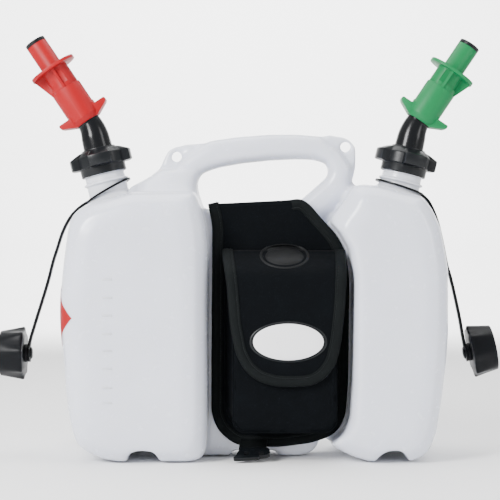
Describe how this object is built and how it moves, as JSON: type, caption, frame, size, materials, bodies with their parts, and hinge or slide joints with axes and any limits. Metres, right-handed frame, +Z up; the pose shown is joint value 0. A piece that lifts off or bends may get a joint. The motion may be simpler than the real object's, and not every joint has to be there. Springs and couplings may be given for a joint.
{
  "type": "combination fuel can",
  "caption": "Two-chamber blow-moulded can for fuel and oil with arched handle, spring-loaded fillers, tethered screw caps and a soft tool bag in its middle recess.",
  "frame": {"origin": "centre of the base, on the floor plane", "axes": "+X from the fuel side to the oil side, +Z up, front towards -Y"},
  "size_m": [0.496, 0.155, 0.4184],
  "materials": {
    "natural_polyethylene": "satin, slightly translucent",
    "black_plastic": "satin to gloss",
    "red_plastic": "satin",
    "green_plastic": "satin",
    "leash_plastic": "satin",
    "cap_plastic": "satin",
    "seal_rubber": "matt",
    "port_rubber": "satin",
    "spring_steel": "bright wire",
    "neoprene": "knit-faced foam sheet",
    "binding_tape": "ribbed tape",
    "webbing": "woven",
    "hook_tape": "hook and loop",
    "badge_plastic": "satin"
  },
  "bodies": {
    "can": {"can_body": "natural_polyethylene", "bag_panel": "neoprene", "bag_front_binding": "binding_tape", "bag_back_binding": "binding_tape", "bag_pouch": "neoprene", "bag_flap": "neoprene", "bag_flap_binding": "binding_tape", "bag_hook_pad": "hook_tape", "bag_loop_pad": "hook_tape", "bag_badge": "badge_plastic", "bag_port": "port_rubber", "bag_strap": "webbing"},
    "fuel_filler": {"fuel_elbow": "black_plastic", "fuel_sleeve": "red_plastic", "fuel_valve_stem": "black_plastic", "fuel_vent_tube": "black_plastic", "fuel_neck_gasket": "seal_rubber", "fuel_spring": "spring_steel"},
    "fuel_nut": {"fuel_union_nut": "black_plastic"},
    "fuel_nose": {"fuel_slider": "red_plastic", "fuel_slider_seal": "seal_rubber"},
    "fuel_tether": {"fuel_leash": "leash_plastic"},
    "fuel_screw_cap": {"fuel_cap": "cap_plastic", "fuel_cap_liner": "seal_rubber", "fuel_cap_button": "leash_plastic"},
    "oil_filler": {"oil_elbow": "black_plastic", "oil_sleeve": "green_plastic", "oil_valve_stem": "black_plastic", "oil_vent_tube": "black_plastic", "oil_neck_gasket": "seal_rubber", "oil_spring": "spring_steel"},
    "oil_nut": {"oil_union_nut": "black_plastic"},
    "oil_nose": {"oil_slider": "green_plastic", "oil_slider_seal": "seal_rubber"},
    "oil_tether": {"oil_leash": "leash_plastic"},
    "oil_screw_cap": {"oil_cap": "cap_plastic", "oil_cap_liner": "seal_rubber", "oil_cap_button": "leash_plastic"}
  },
  "joints": [
    {"name": "fuel_filler_lift", "type": "slide", "parent": "can", "child": "fuel_filler", "axis": [-0.2385, 0, 0.9711], "range_m": [0, 0.015]},
    {"name": "fuel_nut_turn", "type": "hinge", "parent": "fuel_filler", "child": "fuel_nut", "pos_m": [-0.145, 0, 0.2802], "axis": [-0.2385, 0, 0.9711], "range_deg": [0, 1080]},
    {"name": "fuel_nose_push", "type": "slide", "parent": "fuel_filler", "child": "fuel_nose", "axis": [0.5592, 0, -0.829], "range_m": [0, 0.012], "stiffness_N_per_m": 500, "springref_m": -0.01, "deforming": ["fuel_spring"]},
    {"name": "fuel_tether_swing", "type": "hinge", "parent": "can", "child": "fuel_tether", "pos_m": [-0.145, 0, 0.2802], "axis": [-0.2385, 0, 0.9711], "range_deg": [-12, 12]},
    {"name": "fuel_cap_spin", "type": "hinge", "parent": "fuel_tether", "child": "fuel_screw_cap", "pos_m": [-0.2245, 0, 0.1015], "axis": [1, 0, 0], "continuous": true},
    {"name": "oil_filler_lift", "type": "slide", "parent": "can", "child": "oil_filler", "axis": [0.2385, 0, 0.9711], "range_m": [0, 0.015]},
    {"name": "oil_nut_turn", "type": "hinge", "parent": "oil_filler", "child": "oil_nut", "pos_m": [0.1529, 0, 0.2806], "axis": [0.2385, 0, 0.9711], "range_deg": [0, 1080]},
    {"name": "oil_nose_push", "type": "slide", "parent": "oil_filler", "child": "oil_nose", "axis": [-0.5592, 0, -0.829], "range_m": [0, 0.012], "stiffness_N_per_m": 500, "springref_m": -0.01, "deforming": ["oil_spring"]},
    {"name": "oil_tether_swing", "type": "hinge", "parent": "can", "child": "oil_tether", "pos_m": [0.1529, 0, 0.2806], "axis": [0.2385, 0, 0.9711], "range_deg": [-12, 12]},
    {"name": "oil_cap_spin", "type": "hinge", "parent": "oil_tether", "child": "oil_screw_cap", "pos_m": [0.2207, 0, 0.1029], "axis": [-0.9816, 0, -0.1908], "continuous": true}
  ],
  "couplings": [
    {"joint": "fuel_filler_lift", "follows": "fuel_nut_turn", "m_per_rad": 0.00079577},
    {"joint": "oil_filler_lift", "follows": "oil_nut_turn", "m_per_rad": 0.00079577}
  ]
}
